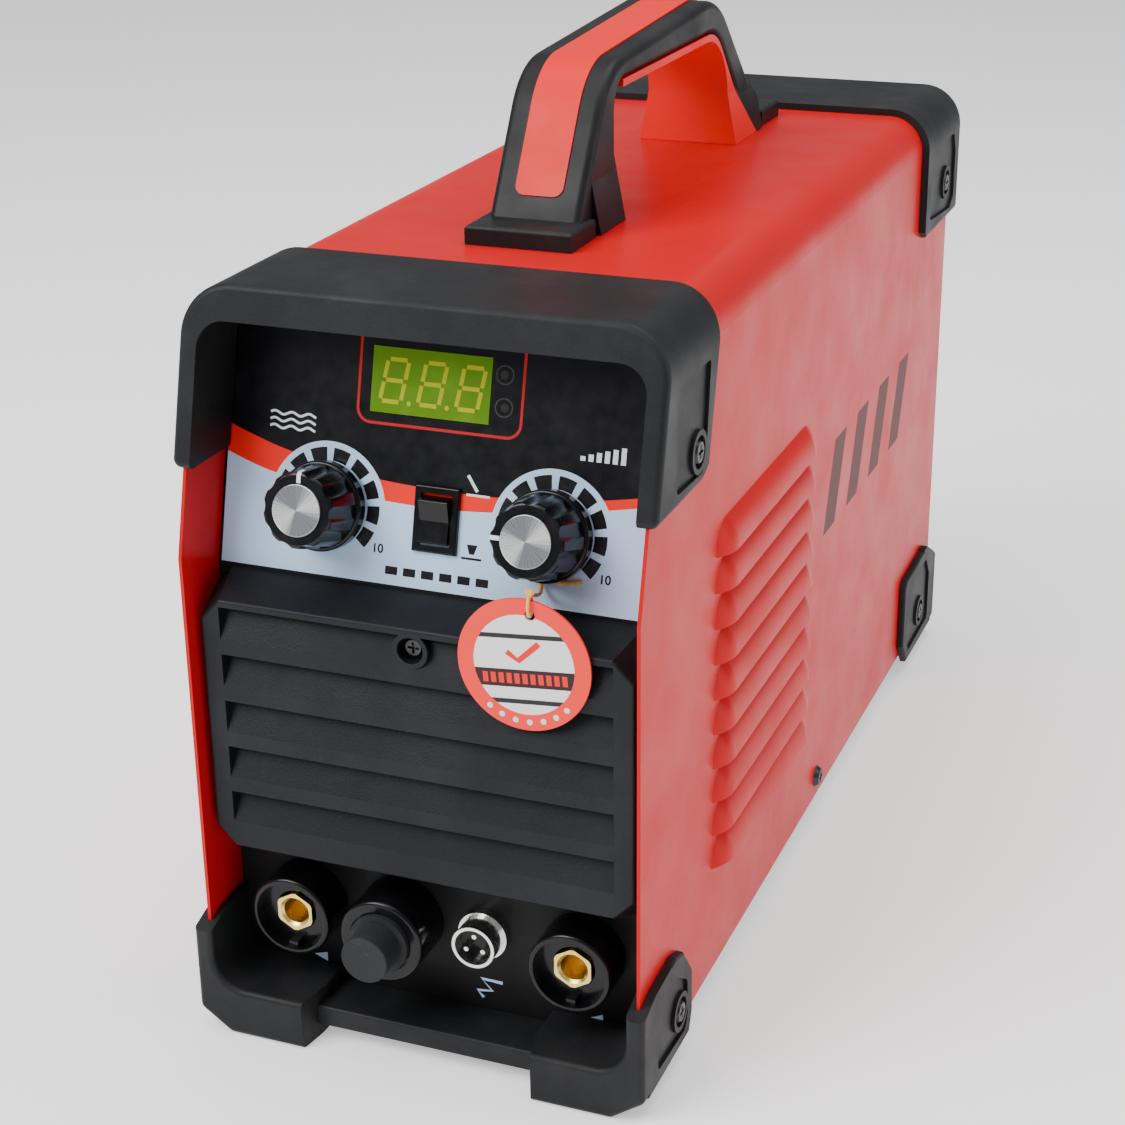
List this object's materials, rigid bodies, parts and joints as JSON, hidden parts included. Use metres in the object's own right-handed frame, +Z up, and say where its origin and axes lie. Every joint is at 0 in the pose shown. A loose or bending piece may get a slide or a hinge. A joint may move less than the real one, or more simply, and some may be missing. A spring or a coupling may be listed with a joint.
{
  "type": "tig welding machine",
  "caption": "Portable inverter TIG welding machine with carrying handle, sloping control panel, corner bumpers, vented case and front output and torch sockets.",
  "frame": {"origin": "on the floor under the middle of the machine's bounding box", "axes": "+Z up, +Y towards the back along the machine's length, +X to the right of someone facing the control panel"},
  "size_m": [0.163, 0.415, 0.3121],
  "materials": {
    "red_paint": "glossy red powder-coated sheet steel",
    "bumper_black": "textured black moulded plastic",
    "handle_black": "fine-grained black moulded plastic",
    "handle_red": "satin red overmoulded grip",
    "grille_black": "satin black moulded plastic",
    "panel_black": "black powder-coated sheet steel",
    "overlay_print": "printed polycarbonate overlay, black, red and pale blue",
    "zinc_steel": "zinc-plated sheet steel",
    "black_screws": "black-oxide screws",
    "green_filter": "green display filter",
    "black_plastic": "glossy black plastic",
    "lamp_lens": "smoky lamp lens",
    "knob_aluminium": "spun aluminium cap",
    "potentiometer_metal": "stamped steel and turned shafts",
    "brass": "turned brass",
    "dust_rubber": "matt black rubber",
    "connector_chrome": "bright nickel plating",
    "fan_plastic": "black fan moulding",
    "guard_wire": "plated steel wire",
    "board_green": "green circuit board",
    "sink_aluminium": "extruded aluminium",
    "capacitor_sleeve": "shrink sleeve",
    "ferrite": "sintered ferrite",
    "winding": "enamelled copper winding and copper strip",
    "valve_body": "valve body with its coil",
    "hose_rubber": "black gas hose",
    "tag_card": "printed card, red ring on white",
    "tag_cord": "orange-yellow cord"
  },
  "bodies": {
    "machine": {"arc_start_coil": "winding", "board_standoffs": "zinc_steel", "bottom_front_bumper": "bumper_black", "bottom_rear_bumper": "bumper_black", "bus_capacitors": "capacitor_sleeve", "cable_gland": "black_plastic", "chassis_pan": "zinc_steel", "control_board": "board_green", "control_connector_insert": "black_plastic", "control_connector_pins": "connector_chrome", "control_connector_shell": "connector_chrome", "control_overlay": "overlay_print", "cover": "red_paint", "display_module": "black_plastic", "display_window": "green_filter", "earth_stud": "brass", "fan_frame": "fan_plastic", "fan_guard": "guard_wire", "front_grille": "grille_black", "front_panel": "panel_black", "gas_hose": "hose_rubber", "gas_inlet_nipple": "brass", "gas_solenoid_valve": "valve_body", "handle_body": "handle_black", "handle_bolts": "black_screws", "handle_grip_insert": "handle_red", "handle_top_insert": "handle_red", "heatsink_brackets": "zinc_steel", "heatsinks": "sink_aluminium", "indicator_lamps": "lamp_lens", "inverter_board": "board_green", "mode_switch_housing": "black_plastic", "output_busbars": "winding", "output_inductor": "winding", "output_socket_bodies": "black_plastic", "output_socket_inserts": "brass", "panel_screws": "black_screws", "pot_nuts": "zinc_steel", "potentiometers": "potentiometer_metal", "power_switch_housing": "black_plastic", "rear_panel": "panel_black", "side_screws": "black_screws", "tag_string": "tag_cord", "top_front_bumper": "bumper_black", "top_rear_bumper": "bumper_black", "torch_socket_body": "black_plastic", "torch_socket_stud": "brass", "transformer_core": "ferrite", "transformer_windings": "winding"},
    "gas_knob_body": {"gas_knob": "black_plastic", "gas_knob_cap": "knob_aluminium", "gas_pot_shaft": "potentiometer_metal"},
    "current_knob_body": {"current_knob": "black_plastic", "current_knob_cap": "knob_aluminium", "current_pot_shaft": "potentiometer_metal"},
    "mode_rocker_body": {"mode_rocker": "black_plastic"},
    "power_rocker_body": {"power_rocker": "black_plastic"},
    "fan_rotor_body": {"fan_rotor": "fan_plastic"},
    "dust_cap_body": {"torch_dust_cap": "dust_rubber"},
    "tag_body": {"hang_tag": "tag_card"}
  },
  "joints": [
    {"name": "gas_knob_turn", "type": "hinge", "parent": "machine", "child": "gas_knob_body", "pos_m": [-0.0381, -0.18289, 0.18738], "axis": [0, -0.9673, 0.2538], "range_deg": [-135, 135]},
    {"name": "current_knob_turn", "type": "hinge", "parent": "machine", "child": "current_knob_body", "pos_m": [0.0381, -0.18289, 0.18738], "axis": [0, -0.9673, 0.2538], "range_deg": [-225, 45]},
    {"name": "mode_rocker_tilt", "type": "hinge", "parent": "machine", "child": "mode_rocker_body", "pos_m": [0, -0.17131, 0.18424], "axis": [1, 0, 0], "range_deg": [-18, 0]},
    {"name": "power_rocker_tilt", "type": "hinge", "parent": "machine", "child": "power_rocker_body", "pos_m": [-0.046, 0.1787, 0.205], "axis": [1, 0, 0], "range_deg": [0, 18]},
    {"name": "fan_spin", "type": "hinge", "parent": "machine", "child": "fan_rotor_body", "pos_m": [0, 0.1655, 0.088], "axis": [0, 1, 0], "continuous": true},
    {"name": "dust_cap_pull", "type": "slide", "parent": "machine", "child": "dust_cap_body", "axis": [0, -1, 0], "range_m": [0, 0.02]},
    {"name": "tag_swing", "type": "hinge", "parent": "machine", "child": "tag_body", "pos_m": [0.0408, -0.1961, 0.1682], "axis": [0, 1, 0], "range_deg": [-30, 30]}
  ]
}
